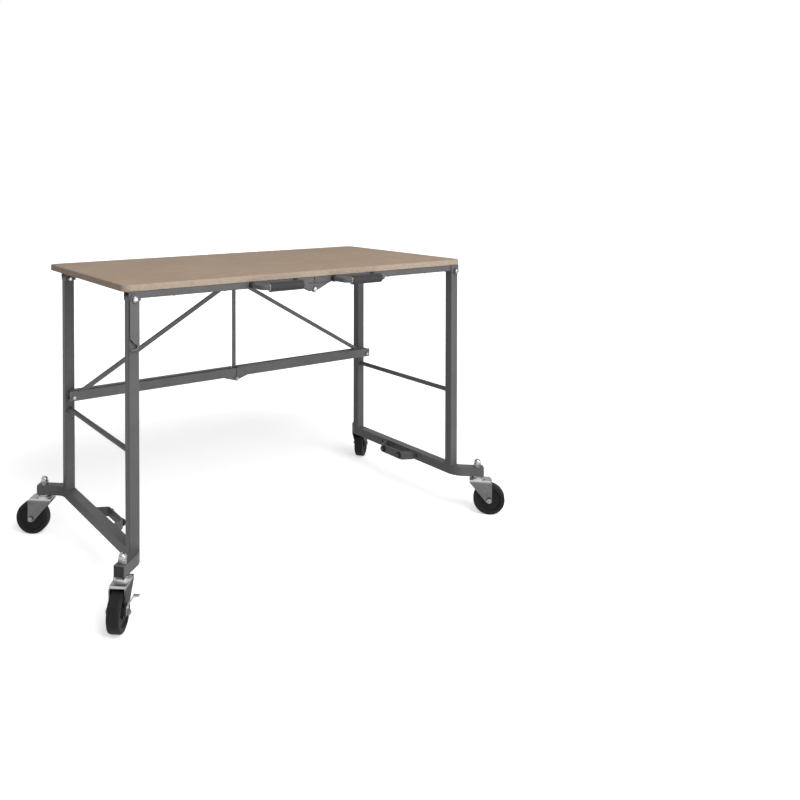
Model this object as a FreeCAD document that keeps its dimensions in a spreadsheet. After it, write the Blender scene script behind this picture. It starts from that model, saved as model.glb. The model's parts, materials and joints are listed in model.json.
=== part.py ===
"""Folding workbench: two leg frames on casters, a top in two halves that folds upwards like a tent,
a folding stretcher, a king post and two sliding braces. +X runs along the bench, -Y is the front, +Z is up.
"""
import FreeCAD
import Part
import Sketcher
import math
import os
import re

Vector = FreeCAD.Vector
Rotation = FreeCAD.Rotation

# Driving sizes, in millimetres and degrees
SIZES = {
    # worktop
    "top_height": 862.0,
    "panel_half": 610.0,
    "panel_depth": 635.0,
    "panel_thickness": 18.0,
    "panel_corner": 25.0,
    "seam_half": 0.1,
    "front_overhang": 1.0,
    # square tube of the frames
    "tube": 30.0,
    "tube_wall": 1.5,
    "tube_round": 3.0,
    # place of the legs
    "front_leg_y": -255.1,
    "leg_spacing": 520.0,
    "leg_inset": 30.0,
    "leg_top_round": 15.0,
    # rails under the top
    "rail_height": 20.0,
    "rail_wall": 1.5,
    "cross_height": 16.0,
    "cross_width": 30.0,
    "cross_outer": 505.0,
    "cross_inner": 105.0,
    # fold
    "fold_angle": 85.6,
    "pivot_fall": 18.0,
    "stretcher_drop": 370.0,
    # plates, bolts and running fits
    "plate": 3.0,
    "bolt_radius": 4.0,
    "bolt_head_radius": 6.5,
    "bolt_head": 4.4,
    "run_gap": 0.05,
    "side_gap": 0.5,
    "face_gap": 0.3,
    # hinge lugs
    "lug_arm": 62.0,
    "lug_round": 9.5,
    "low_lug_arm": 50.0,
    "low_lug_round": 7.5,
    # pivot brackets on the top
    "bracket_below": 5.0,
    # stretcher channel
    "channel_depth": 36.5,
    "channel_wall": 1.5,
    "channel_above": 20.0,
    "channel_below": 10.0,
    "channel_past": 13.0,
    "seam_low": 1.0,
    "post_notch": 9.0,
    # king post and braces
    "post_width": 12.0,
    "post_thick": 6.0,
    "post_eye": 9.0,
    "post_gap": 2.0,
    "brace_width": 13.0,
    "brace_thick": 4.5,
    "brace_eye": 7.5,
    "brace_gap": 1.0,
    "brace_short": 29.0,
    "brace_drop": 18.5,
    "sleeve_radius": 7.0,
    # rung
    "rung_radius": 7.5,
    "rung_wall": 1.5,
    "rung_height": 411.0,
    # foot beam
    "beam_bottom": 128.0,
    "beam_bend_radius": 50.0,
    "beam_bend": 50.0,
    "stem_run": 50.0,
    "beam_past_stem": 20.0,
    "plug_depth": 14.0,
    "plug_fit": 0.1,
    # bumper brackets
    "strap": 4.0,
    "strap_height": 28.0,
    "strap_drop": 4.0,
    "hat_face": 115.0,
    "hat_foot": 150.0,
    "hat_y": 5.0,
    "hat_bend": 6.0,
    "bumper_radius": 11.0,
    "bumper_spacing": 88.0,
    "bumper_gap": 1.4,
    "bumper_height": 7.75,
    # handles
    "handle_near": 70.0,
    "handle_far": 220.0,
    "handle_reach": 66.0,
    "handle_tube": 8.0,
    "handle_bend": 18.0,
    "flange_radius": 14.0,
    "flange": 3.0,
    "grip_gap": 2.0,
    "grip_ribs": 14,
    "grip_radius": 14.0,
    "grip_groove": 1.5,
    "grip_fit": 0.15,
    # latch
    "latch_thick": 3.0,
    "latch_width": 26.0,
    "latch_past": 12.0,
    "latch_slot": 6.5,
    "stud_radius": 5.5,
    # casters
    "wheel_radius": 52.0,
    "tread_width": 34.0,
    "tread_round": 5.0,
    "hub_width": 36.0,
    "hub_radius": 17.0,
    "rim_radius": 39.0,
    "rim_recess": 5.0,
    "trail": 38.0,
    "fork_gap": 1.0,
    "fork_plate": 3.0,
    "fork_crown": 5.0,
    "crown_front": 27.0,
    "fork_heel": 10.0,
    "fork_toe": 10.0,
    "race_radius": 24.0,
    "race_height": 8.0,
    "stem_radius": 6.0,
    "axle_radius": 5.0,
    "axle_head_radius": 8.0,
    "axle_head": 5.0,
    "king_nut": 9.0,
    "cap_radius": 11.0,
    "cap_height": 24.0,
    "cap_base": 8.0,
    "washer_radius": 13.0,
    "washer": 2.5,
    "turn_front_left": 231.0,
    "turn_front_right": 315.0,
    "turn_back_left": 140.0,
    "turn_back_right": 40.0,
    # brake levers
    "lever_plate": 2.5,
    "lever_reach": 44.0,
    "lever_width": 12.0,
    "lever_tab": 14.0,
    "lever_flare": 17.0,
}

# Places worked out from the driving sizes
PLACES = {
    "pivot_reach": "panel_half - leg_inset",
    "panel_under": "top_height - panel_thickness",
    "pivot_z": "panel_under - rail_height",
    "hinge_z": "pivot_z - pivot_fall",
    "low_pivot_z": "pivot_z - stretcher_drop",
    "low_hinge_z": "low_pivot_z - pivot_fall",
    "back_leg_y": "front_leg_y + leg_spacing",
    "front_edge": "front_leg_y - tube / 2 - front_overhang",
    "leg_in": "pivot_reach - tube / 2",
    "leg_out": "pivot_reach + tube / 2",
    "web_out": "leg_in - side_gap",
    "rail_end": "web_out - plate",
    "bolt_bore": "bolt_radius + run_gap",
    "channel_back": "back_leg_y - tube / 2 - side_gap",
    "channel_front": "channel_back - channel_depth",
    "post_y": "channel_front + channel_depth / 2 + 0.25",
    "upper_left_y": "post_y - post_thick / 2 - post_gap - brace_thick / 2",
    "lower_left_y": "upper_left_y - brace_thick - brace_gap",
    "upper_right_y": "post_y + post_thick / 2 + post_gap + brace_thick / 2",
    "lower_right_y": "upper_right_y + brace_thick + brace_gap",
    "brace_rise": "stretcher_drop - pivot_fall - brace_drop",
    "brace_span": "sqrt(pivot_reach ^ 2 + brace_rise ^ 2)",
    "brace_length": "brace_span - brace_short",
    "post_length": "stretcher_drop",
    "beam_mid_z": "beam_bottom + tube / 2",
    "beam_top": "beam_bottom + tube",
    "stem_out": "beam_bend_radius * (1 - cos(beam_bend * 1deg)) + stem_run * sin(beam_bend * 1deg)",
    "stem_along": "beam_bend_radius * sin(beam_bend * 1deg) + stem_run * cos(beam_bend * 1deg)",
    "folded_half": "pivot_reach * cos(fold_angle * 1deg) + pivot_fall * sin(fold_angle * 1deg)",
    "latch_reach": "2 * folded_half",
    "bumper_tip": "folded_half - tube / 2 - bumper_gap / 2",
    "hat_reach": "bumper_tip - bumper_height",
    "fork_inner": "hub_width / 2 + fork_gap",
    "fork_outer": "fork_inner + fork_plate",
    "crown_top": "beam_bottom - race_height - washer",
    "post_front_gap": "post_y - post_thick / 2 - face_gap - channel_front",
    "grip_centre": "(handle_near + handle_far) / 2",
    "grip_length": "handle_far - handle_near - 2 * handle_bend - grip_gap",
}

SIDES = {"left": -1, "right": 1}
ENDS = {"front": -1, "back": 1}

doc = FreeCAD.newDocument("FoldingWorkbench")
sheet = doc.addObject("Spreadsheet::Sheet", "Sizes")
for row, (name, number) in enumerate(SIZES.items(), start=1):
    sheet.set(f"A{row}", name)
    sheet.set(f"B{row}", str(number))
    sheet.setAlias(f"B{row}", name)
doc.recompute()

nodes = []


def sized(formula):
    """A formula of size and place names as an expression on the sheet."""
    def swap(match):
        word = match.group(0)
        if word in SIZES:
            return f"Sizes.{word}"
        if word in PLACES:
            return f"({sized(PLACES[word])})"
        return word
    return re.sub(r"[A-Za-z_]\w*", swap, str(formula))


def bind(item, **formulas):
    """Tie properties to formulas; at=(x, y, z) ties the placement's base."""
    for name, formula in formulas.items():
        if name == "at":
            for axis, part in zip("xyz", formula):
                item.setExpression(f"Placement.Base.{axis}", sized(part))
        else:
            item.setExpression(name, sized(formula))
    return item


def turned(item, axis, formula):
    """Turn an object about an axis through its own origin, by an angle from the sheet."""
    item.Placement = FreeCAD.Placement(item.Placement.Base, Rotation(Vector(*axis), 10.0))
    return bind(item, **{"Placement.Rotation.Angle": formula})


def box(x, y, z, length, width, height):
    """A block from its lowest corner."""
    item = doc.addObject("Part::Box", "Block")
    return bind(item, at=(x, y, z), Length=length, Width=width, Height=height)


def middle_box(x, y, z, length, width, height):
    """A block about its centre in X and Y, from its lower face up."""
    return box(f"{x} - ({length}) / 2", f"{y} - ({width}) / 2", z, length, width, height)


def rod(x, y, z, radius, length, along="z"):
    """A round rod that starts at a point and runs along +X, +Y or +Z."""
    item = doc.addObject("Part::Cylinder", "Rod")
    turn = {"x": Rotation(Vector(0, 1, 0), 90), "y": Rotation(Vector(1, 0, 0), -90), "z": Rotation()}
    item.Placement = FreeCAD.Placement(Vector(), turn[along])
    return bind(item, at=(x, y, z), Radius=radius, Height=length)


def fuse(*pieces):
    if len(pieces) == 1:
        return pieces[0]
    item = doc.addObject("Part::MultiFuse", "Joined")
    item.Shapes = list(pieces)
    item.Refine = True
    return item


def cut(base, *tools):
    item = doc.addObject("Part::Cut", "Trimmed")
    item.Base = base
    item.Tool = fuse(*tools)
    return item


def group(*pieces):
    item = doc.addObject("Part::Compound", "Set")
    item.Links = list(pieces)
    return item


def node(name, item):
    """Keep an object as a sub-part of the bench."""
    item.Label = name
    nodes.append(item)
    return item


def new_body(name):
    return doc.addObject("PartDesign::Body", name)


def sketch_on(body, plane):
    """A sketch on one of the body's own origin planes."""
    sketch = body.newObject("Sketcher::SketchObject", "Outline")
    support = next(item for item in body.Origin.OriginFeatures if item.Role == plane)
    sketch.AttachmentSupport = [(support, "")]
    sketch.MapMode = "FlatFace"
    return sketch


def fix_point(sketch, edge, end, place, formulas):
    """Hold one end of an edge at a formula's place in the sketch."""
    for kind, number, formula in zip(("DistanceX", "DistanceY"), place, formulas):
        index = sketch.addConstraint(Sketcher.Constraint(kind, -1, 1, edge, end, number))
        sketch.setExpression(f"Constraints[{index}]", sized(formula))


def outline(sketch, corners):
    """A closed outline of straight edges, with every corner held by two formulas."""
    count = len(corners)
    first = sketch.GeometryCount
    start = [Vector(10 * math.cos(4 + 2 * math.pi * i / count), 10 * math.sin(4 + 2 * math.pi * i / count), 0)
             for i in range(count)]
    for i in range(count):
        sketch.addGeometry(Part.LineSegment(start[i], start[(i + 1) % count]), False)
    for i in range(count):
        sketch.addConstraint(Sketcher.Constraint("Coincident", first + i, 2, first + (i + 1) % count, 1))
    for i, corner in enumerate(corners):
        fix_point(sketch, first + i, 1, (start[i].x, start[i].y), corner)


def circle(sketch, x, y, radius):
    """A circle held by its centre and radius."""
    edge = sketch.addGeometry(Part.Circle(Vector(1, 1, 0), Vector(0, 0, 1), 5.0), False)
    fix_point(sketch, edge, 3, (1.0, 1.0), (x, y))
    index = sketch.addConstraint(Sketcher.Constraint("Radius", edge, 5.0))
    sketch.setExpression(f"Constraints[{index}]", sized(radius))


def pad(body, sketch, length):
    """Raise a sketch evenly to both sides of its plane."""
    item = body.newObject("PartDesign::Pad", "Pad")
    item.Profile = sketch
    item.SideType = "Symmetric"
    return bind(item, Length=length)


def plate(corners, thickness, at=(0, 0, 0), plane="XZ_Plane"):
    """A flat plate with a straight-edged outline, its thickness centred on the given place."""
    body = new_body("Plate")
    sketch = sketch_on(body, plane)
    outline(sketch, corners)
    pad(body, sketch, thickness)
    return bind(body, at=at)


def turning(corners, at=(0, 0, 0)):
    """A round piece: an outline of (radius, height) corners turned about its own upright axis."""
    body = new_body("Turned")
    sketch = sketch_on(body, "XZ_Plane")
    outline(sketch, corners)
    spin = body.newObject("PartDesign::Revolution", "Turn")
    spin.Profile = sketch
    spin.ReferenceAxis = (sketch, ["V_Axis"])
    spin.Angle = 360.0
    return bind(body, at=at)


def round_edges(base, direction, radius):
    """Round the edges of a block that run along one direction."""
    doc.recompute()
    item = doc.addObject("Part::Fillet", "Rounded")
    item.Base = base
    picked = []
    for number, edge in enumerate(base.Shape.Edges, start=1):
        along = abs(edge.tangentAt(0).dot(Vector(*direction)))
        if edge.Curve.TypeId == "Part::GeomLine" and abs(along - 1) < 1e-6:
            picked.append((number, radius, radius))
    item.Edges = picked
    return item


def square_tube(x, y, z, length, width, height, along, wall="tube_wall"):
    """A hollow tube about a block, with rounded outer edges and open ends."""
    radius = SIZES["tube_round"]
    outer = round_edges(box(x, y, z, length, width, height), along, radius)
    inset = [f"({wall})" if part == 0 else "(-1)" for part in along]
    spans = [length, width, height]
    corner = [f"{start} + {step}" for start, step in zip((x, y, z), inset)]
    size = [f"({span}) - 2 * {step}" for span, step in zip(spans, inset)]
    return cut(outer, box(*corner, *size))


def bent_path(sketch, half_run, radius, angle, end_run, numbers):
    """A straight run with one bend and a straight end at each side, all in the sketch's plane."""
    half, bend, turn, tail = numbers
    turn = math.radians(turn)
    knee = (f"{half_run} + {radius} * sin({angle} * 1deg)", f"{radius} * (1 - cos({angle} * 1deg))")
    toe = (f"{knee[0]} + {end_run} * cos({angle} * 1deg)", f"{knee[1]} + {end_run} * sin({angle} * 1deg)")
    knee_at = (half + bend * math.sin(turn), bend * (1 - math.cos(turn)))
    toe_at = (knee_at[0] + tail * math.cos(turn), knee_at[1] + tail * math.sin(turn))

    def mirrored(formulas):
        return (f"-({formulas[0]})", formulas[1])

    left_toe, left_knee, left_run = (-toe_at[0], toe_at[1]), (-knee_at[0], knee_at[1]), (-half, 0.0)
    right_run = (half, 0.0)
    spots = [left_toe, left_knee, left_run, right_run, knee_at, toe_at]
    holds = [mirrored(toe), mirrored(knee), (f"-({half_run})", "0"), (half_run, "0"), knee, toe]
    points = [Vector(*spot, 0) for spot in spots]

    def arc(start, end, centre_x, from_angle, to_angle):
        ring = Part.Circle(Vector(centre_x, bend, 0), Vector(0, 0, 1), bend)
        return Part.ArcOfCircle(ring, from_angle, to_angle)

    down = 1.5 * math.pi
    edges = [
        Part.LineSegment(points[0], points[1]),
        arc(points[1], points[2], -half, down - turn, down),
        Part.LineSegment(points[2], points[3]),
        arc(points[3], points[4], half, down, down + turn),
        Part.LineSegment(points[4], points[5]),
    ]
    for edge in edges:
        sketch.addGeometry(edge, False)
    for edge in range(4):
        sketch.addConstraint(Sketcher.Constraint("Coincident", edge, 2, edge + 1, 1))
    for edge, end, spot in ((0, 1, 0), (0, 2, 1), (2, 1, 2), (2, 2, 3), (4, 1, 4), (4, 2, 5)):
        fix_point(sketch, edge, end, spots[spot], holds[spot])
    for edge in (1, 3):
        index = sketch.addConstraint(Sketcher.Constraint("Radius", edge, bend))
        sketch.setExpression(f"Constraints[{index}]", sized(radius))


def bent_tube(half_run, radius, angle, end_run, section):
    """A tube swept along a bent path in the body's XY plane; its ends bend towards +Y."""
    body = new_body("BentTube")
    path = sketch_on(body, "XY_Plane")
    bent_path(path, half_run, radius, angle, end_run,
              [SIZES[name] if name in SIZES else number for name, number in section["start"]])
    profile = sketch_on(body, "YZ_Plane")
    section["draw"](profile)
    doc.recompute()
    pipe = body.newObject("PartDesign::AdditivePipe", "Sweep")
    pipe.Profile = profile
    pipe.Spine = path
    pipe.Transition = "Right corner"
    return body


# Worktop halves

def top_half(name, side):
    """One panel with its outer corners rounded, and the steel frame screwed under it."""
    sign = SIDES[name]
    inner = f"{sign} * seam_half"
    outer = f"{sign} * panel_half"
    low_x = outer if sign < 0 else inner
    board = box(low_x, "front_edge", "panel_under", "panel_half - seam_half", "panel_depth", "panel_thickness")
    doc.recompute()
    rounded = doc.addObject("Part::Fillet", "Panel")
    rounded.Base = board
    rounded.Edges = [(number, SIZES["panel_corner"], SIZES["panel_corner"])
                     for number, edge in enumerate(board.Shape.Edges, start=1)
                     if abs(edge.tangentAt(0).z) > 0.99 and abs(edge.CenterOfMass.x) > SIZES["panel_half"] / 2]
    node(f"top_panel_{name}", rounded)

    rail_low = "-rail_end" if sign < 0 else "seam_low"
    for end, centre in (("front", "front_leg_y"), ("back", "back_leg_y")):
        rail = square_tube(rail_low, f"{centre} - tube / 2", "pivot_z", "rail_end - seam_low", "tube",
                           "rail_height", (1, 0, 0), "rail_wall")
        node(f"rail_{end}_{name}", rail)

    cross = [square_tube(f"{sign} * {place} - cross_width / 2", "front_leg_y + tube / 2",
                         "panel_under - cross_height",
                         "cross_width", "leg_spacing - tube", "cross_height", (0, 1, 0), "rail_wall")
             for place in ("cross_outer", "cross_inner")]
    node(f"cross_rails_{name}", group(*cross))

    brackets = [pivot_bracket(sign, centre) for centre in ("front_leg_y", "back_leg_y")]
    node(f"pivot_brackets_{name}", group(*brackets))

    lugs = []
    for centre in ("front_leg_y", "back_leg_y"):
        for face in (-1, 1):
            inset = "plate / 2" if sign < 0 else "(plate * 1.5 + side_gap)"
            place = f"{centre} + {face} * (tube / 2 - {inset})"
            lugs.append(hinge_lug(sign, place, "pivot_z", "hinge_z", "lug_arm",
                                  "seam_low", "lug_round"))
    node(f"hinge_lugs_{name}", group(*lugs))
    handle(name, sign)


def pivot_bracket(sign, centre):
    """A bent bracket that straddles a leg's top: two cheeks, a web beside the leg and a web above it."""
    low_x = "-leg_out" if sign < 0 else "rail_end"
    bottom = "pivot_z - bracket_below"
    shell = box(low_x, f"{centre} - tube / 2 - side_gap - plate", bottom, "leg_out - rail_end",
                "tube + 2 * (side_gap + plate)", "rail_height + bracket_below")
    room_x = f"{low_x} - 1" if sign < 0 else f"{low_x} + plate"
    room = box(room_x, f"{centre} - tube / 2 - side_gap", f"{bottom} - 1", "leg_out - rail_end - plate + 1",
               "tube + 2 * side_gap", "rail_height + bracket_below - plate + 1")
    bore = rod(f"{sign} * pivot_reach", f"{centre} - tube", "pivot_z", "bolt_bore", "2 * tube", "y")
    return cut(shell, room, bore)


def hinge_lug(sign, y, top, pivot, arm, gap, eye):
    """A three-cornered lug welded under a rail, with a round eye for the hinge bolt."""
    rise = f"({top} - ({pivot}))"
    web = plate([(f"{sign} * {gap}", rise), (f"{sign} * {arm}", rise),
                 (f"{sign} * {eye} * 0.6", f"-{eye} * 0.8"),
                 (f"{sign} * {gap}", f"-{eye} * 0.6")], "plate", (0, y, pivot))
    ring = rod(0, f"{y} - plate / 2", pivot, eye, "plate", "y")
    trim = box(f"-2 * {eye}", f"{y} - plate", top, f"4 * {eye}", "2 * plate", eye)
    bore = rod(0, f"{y} - plate", pivot, "bolt_bore", "2 * plate", "y")
    return cut(fuse(web, ring), trim, bore)


def handle(name, sign):
    """A bent-tube grab handle on the front rail with a ribbed grip on it."""
    half = "((handle_far - handle_near) / 2 - handle_bend)"
    reach = "(handle_reach - handle_bend)"
    half_number = (SIZES["handle_far"] - SIZES["handle_near"]) / 2 - SIZES["handle_bend"]
    section = {
        "start": [("", half_number), ("handle_bend", 0), ("", 90.0),
                  ("", SIZES["handle_reach"] - SIZES["handle_bend"])],
        "draw": lambda sketch: circle(sketch, "0", "0", "handle_tube"),
    }
    tube = bent_tube(half, "handle_bend", "90", reach, section)
    face = "front_leg_y - tube / 2"
    z = "pivot_z + rail_height / 2"
    bind(tube, at=(f"{sign} * grip_centre", f"{face} - handle_reach", z))
    wide = "min(flange_radius; rail_height / 2)"
    flanges = [rod(f"{sign} * {x}", f"{face} - flange", z, wide, "flange", "y")
               for x in ("handle_near", "handle_far")]
    node(f"handle_{name}", fuse(tube, *flanges))

    ribs = SIZES["grip_ribs"]
    pitch = "grip_length / grip_ribs"
    groove = "grip_radius - grip_groove"
    corners = [("handle_tube + grip_fit", "-grip_length / 2"), ("grip_radius", "-grip_length / 2")]
    for rib in range(ribs - 1):
        foot = f"-grip_length / 2 + {rib + 1} * {pitch}"
        corners += [("grip_radius", f"{foot} - {pitch} * 0.3"), (groove, f"{foot} - {pitch} * 0.1"),
                    (groove, f"{foot} + {pitch} * 0.1"), ("grip_radius", f"{foot} + {pitch} * 0.3")]
    corners += [("grip_radius", "grip_length / 2"), ("handle_tube + grip_fit", "grip_length / 2")]
    grip = turning(corners)
    grip.Placement = FreeCAD.Placement(Vector(), Rotation(Vector(0, 1, 0), 90))
    bind(grip, at=(f"{sign} * grip_centre", f"{face} - handle_reach", z))
    node(f"grip_{name}", grip)


# Leg frames

def leg_frame(name):
    """Two legs, a rung, a foot beam with bent ends, the bumper bracket, caster stems and pivot bolts."""
    sign = SIDES[name]
    x = f"{sign} * pivot_reach"
    for end, centre in (("front", "front_leg_y"), ("back", "back_leg_y")):
        node(f"leg_{end}_{name}", leg(x, centre, end))

    rung_start = "front_leg_y + tube / 2"
    rung = cut(rod(x, rung_start, "rung_height", "rung_radius", "leg_spacing - tube", "y"),
               rod(x, f"{rung_start} - 1", "rung_height", "rung_radius - rung_wall",
                   "leg_spacing - tube + 2", "y"))
    node(f"rung_{name}", rung)
    foot_beam(name, sign)
    bumper_bracket(name, sign)
    node(f"caster_stems_{name}", group(*[caster_stem(sign, ENDS[end]) for end in ENDS]))
    node(f"pivot_bolts_{name}", group(*pivot_bolts(name, sign)))


def leg(x, centre, end):
    """A square tube whose top is rounded about its pivot, bored for its bolts."""
    base = "beam_top"
    height = f"(pivot_z - {base})"
    post = middle_box(x, centre, base, "tube", "tube", height)
    outer = fuse(round_edges(post, (0, 0, 1), SIZES["tube_round"]),
                 rod(x, f"{centre} - tube / 2", "pivot_z", "leg_top_round", "tube", "y"))
    room = "tube - 2 * tube_wall"
    hollow = fuse(middle_box(x, centre, f"{base} - 1", room, room, f"{height} + 1"),
                  rod(x, f"{centre} - tube / 2 + tube_wall", "pivot_z", "leg_top_round - tube_wall",
                      "tube - 2 * tube_wall", "y"))
    bores = [rod(x, f"{centre} - tube", "pivot_z", "bolt_bore", "2 * tube", "y")]
    if end == "back":
        bores.append(rod(x, f"{centre} - tube", "low_pivot_z", "bolt_bore", "2 * tube", "y"))
    return cut(outer, hollow, *bores)


def foot_beam(name, sign):
    """A square tube under both legs whose two ends bend outwards to the casters, with a plug in each end."""
    half = "(leg_spacing / 2)"
    tail = "(stem_run + beam_past_stem)"

    def ring(sketch):
        for inset in ("0", "tube_wall"):
            edge = f"(tube / 2 - {inset})"
            outline(sketch, [(f"-{edge}", f"-{edge}"), (edge, f"-{edge}"), (edge, edge), (f"-{edge}", edge)])

    section = {
        "start": [("", SIZES["leg_spacing"] / 2), ("beam_bend_radius", 0), ("beam_bend", 0),
                  ("", SIZES["stem_run"] + SIZES["beam_past_stem"])],
        "draw": ring,
    }
    tube = bent_tube(half, "beam_bend_radius", "beam_bend", tail, section)
    tube.Placement = FreeCAD.Placement(Vector(), Rotation(Vector(0, 0, 1), 90 * -sign))
    middle = "(front_leg_y + leg_spacing / 2)"
    bind(tube, at=(f"{sign} * pivot_reach", middle, "beam_mid_z"))
    holes = []
    for end in ENDS.values():
        stem = stem_place(sign, end)
        holes.append(rod(*stem, "beam_bottom - 1", "stem_radius + run_gap", "tube + 2"))
    node(f"foot_beam_{name}", cut(tube, *holes))

    plugs = []
    for end in ENDS.values():
        plug = middle_box("0", "0", "beam_bottom + tube_wall + plug_fit", "plug_depth",
                          "tube - 2 * (tube_wall + plug_fit)",
                          "tube - 2 * (tube_wall + plug_fit)")
        plug = group(plug)
        heading = f"(90 - beam_bend) * {end}" if sign > 0 else f"180 + (90 - beam_bend) * {-end}"
        turned(plug, (0, 0, 1), heading)
        past = "(beam_past_stem - plug_depth / 2)"
        stem_x, stem_y = stem_place(sign, end)
        bind(plug, at=(f"{stem_x} + {sign} * {past} * sin(beam_bend * 1deg)",
                       f"{stem_y} + {end} * {past} * cos(beam_bend * 1deg)", "0"))
        plugs.append(plug)
    node(f"foot_plugs_{name}", group(*plugs))


def stem_place(sign, end):
    """Where a caster's stem stands, on the bent end of a foot beam."""
    leg_y = "front_leg_y" if end < 0 else "back_leg_y"
    return f"{sign} * (pivot_reach + stem_out)", f"({leg_y}) + {end} * stem_along"


def bumper_bracket(name, sign):
    """A hat-shaped strap on the beam's inner side and two rubber bumpers that meet the other frame's."""
    face = f"{-sign} * hat_reach"
    back = f"{-sign} * (hat_reach - strap)"
    wide, narrow = "hat_foot / 2", "hat_face / 2"
    lean = "hat_bend * 2 * (hat_foot - hat_face) / (2 * hat_reach + hat_foot - hat_face)"
    shy = f"{-sign} * (hat_reach - hat_bend)"
    corners = [("0", f"-{wide}"), (shy, f"-{narrow} - {lean} / 2"), (face, f"-{narrow} + hat_bend"),
               (face, f"{narrow} - hat_bend"), (shy, f"{narrow} + {lean} / 2"), ("0", wide),
               ("0", f"{wide} - strap * 1.2"), (back, f"{narrow} - strap"), (back, f"-{narrow} + strap"),
               ("0", f"-{wide} + strap * 1.2")]
    middle = "(front_leg_y + leg_spacing / 2 - hat_y)"
    z = "beam_mid_z - strap_drop"
    inner_face = f"{sign} * leg_in"
    strap = plate(corners, "strap_height", (inner_face, middle, z), "XY_Plane")
    node(f"bumper_bracket_{name}", strap)
    length = "bumper_height"
    bumpers = []
    for place in (-1, 1):
        knob = turning([("0", "0"), ("bumper_radius", "0"), ("bumper_radius", f"{length} * 0.6"),
                        ("bumper_radius * 0.8", length), ("0", length)])
        knob.Placement = FreeCAD.Placement(Vector(), Rotation(Vector(0, 1, 0), -90 * sign))
        bind(knob, at=(f"{inner_face} - {sign} * hat_reach", f"{middle} + {place} * bumper_spacing / 2", z))
        bumpers.append(knob)
    node(f"bumpers_{name}", group(*bumpers))


def caster_stem(sign, end):
    """A threaded stem through the beam: cap nut and washer above, bearing plate and king nut below."""
    x, y = stem_place(sign, end)
    top = "beam_top + washer"
    low = "crown_top - fork_crown - run_gap"
    corners = [("0", f"{low} - king_nut"), ("king_nut", f"{low} - king_nut"), ("king_nut", low),
               ("stem_radius", low), ("stem_radius", "crown_top + race_height"),
               ("race_radius * 0.75", "crown_top + race_height"), ("race_radius * 0.75", "beam_bottom"),
               ("stem_radius", "beam_bottom"), ("stem_radius", "beam_top"),
               ("washer_radius", "beam_top"), ("washer_radius", top), ("cap_radius", top),
               ("cap_radius", f"{top} + cap_base")]
    for turn in (0, 20, 40, 58, 76):
        out = f"cap_radius * 0.88 * cos({turn} deg)"
        corners.append((out, f"{top} + cap_base + (cap_height - cap_base) * sin({turn} deg)"))
    corners.append(("0", f"{top} + cap_height"))
    return turning(corners, (x, y, "0"))


def bolt(x, z, start, length, head_radius="bolt_head_radius", radius="bolt_radius"):
    """A bolt along +Y from its shank's start, with a head in front and a nut behind."""
    return fuse(rod(x, start, z, radius, length, "y"),
                rod(x, f"{start} - bolt_head", z, head_radius, "bolt_head", "y"),
                rod(x, f"{start} + {length}", z, head_radius, "bolt_head", "y"))


def pivot_bolts(name, sign):
    """The bolts on which the top and the stretcher turn; the front one also carries the latch or its stud."""
    x = f"{sign} * pivot_reach"
    cheek = "tube / 2 + side_gap + plate + face_gap"
    latch_room = "latch_thick + 2 * face_gap"
    front_start = f"front_leg_y - ({cheek}) - ({latch_room})"
    front = bolt(x, "pivot_z", front_start, f"2 * ({cheek}) + {latch_room}", "bolt_head_radius + 1.5")
    if name == "right":
        front = fuse(front, rod(x, front_start, "pivot_z", "stud_radius", latch_room, "y"))
    back = bolt(x, "pivot_z", f"back_leg_y - ({cheek})", f"2 * ({cheek})")
    low_start = "channel_front - face_gap"
    low = bolt(x, "low_pivot_z", low_start, "channel_depth + side_gap + tube + 2 * face_gap")
    return front, back, low


# Latch

def latch():
    """A hooked plate that hangs on the left front pivot and drops over the right stud when folded."""
    half = "latch_width / 2"
    reach = "latch_reach"
    slot = "latch_slot"
    blade = plate([(f"-{half}", "0"), (half, "0"), (half, f"-{reach} - latch_past * 0.4"),
                   (f"{half} * 0.4", f"-{reach} - latch_past"), (f"-{half} * 0.8", f"-{reach} - latch_past"),
                   (f"-{half}", f"-{reach} - {slot}"), ("0", f"-{reach} - {slot}"), ("0", f"-{reach} + {slot}"),
                   (f"-{half}", f"-{reach} + latch_past * 1.8")], "latch_thick")
    eye = rod("0", "-latch_thick / 2", "0", half, "latch_thick", "y")
    notch = rod("0", "-latch_thick", f"-{reach}", slot, "2 * latch_thick", "y")
    bore = rod("0", "-latch_thick", "0", "bolt_bore", "2 * latch_thick", "y")
    item = cut(fuse(blade, eye), notch, bore)
    y = "front_leg_y - tube / 2 - side_gap - plate - 2 * face_gap - latch_thick / 2"
    return node("latch_plate", bind(item, at=("-pivot_reach", y, "pivot_z")))


# Stretcher, king post and braces

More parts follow.
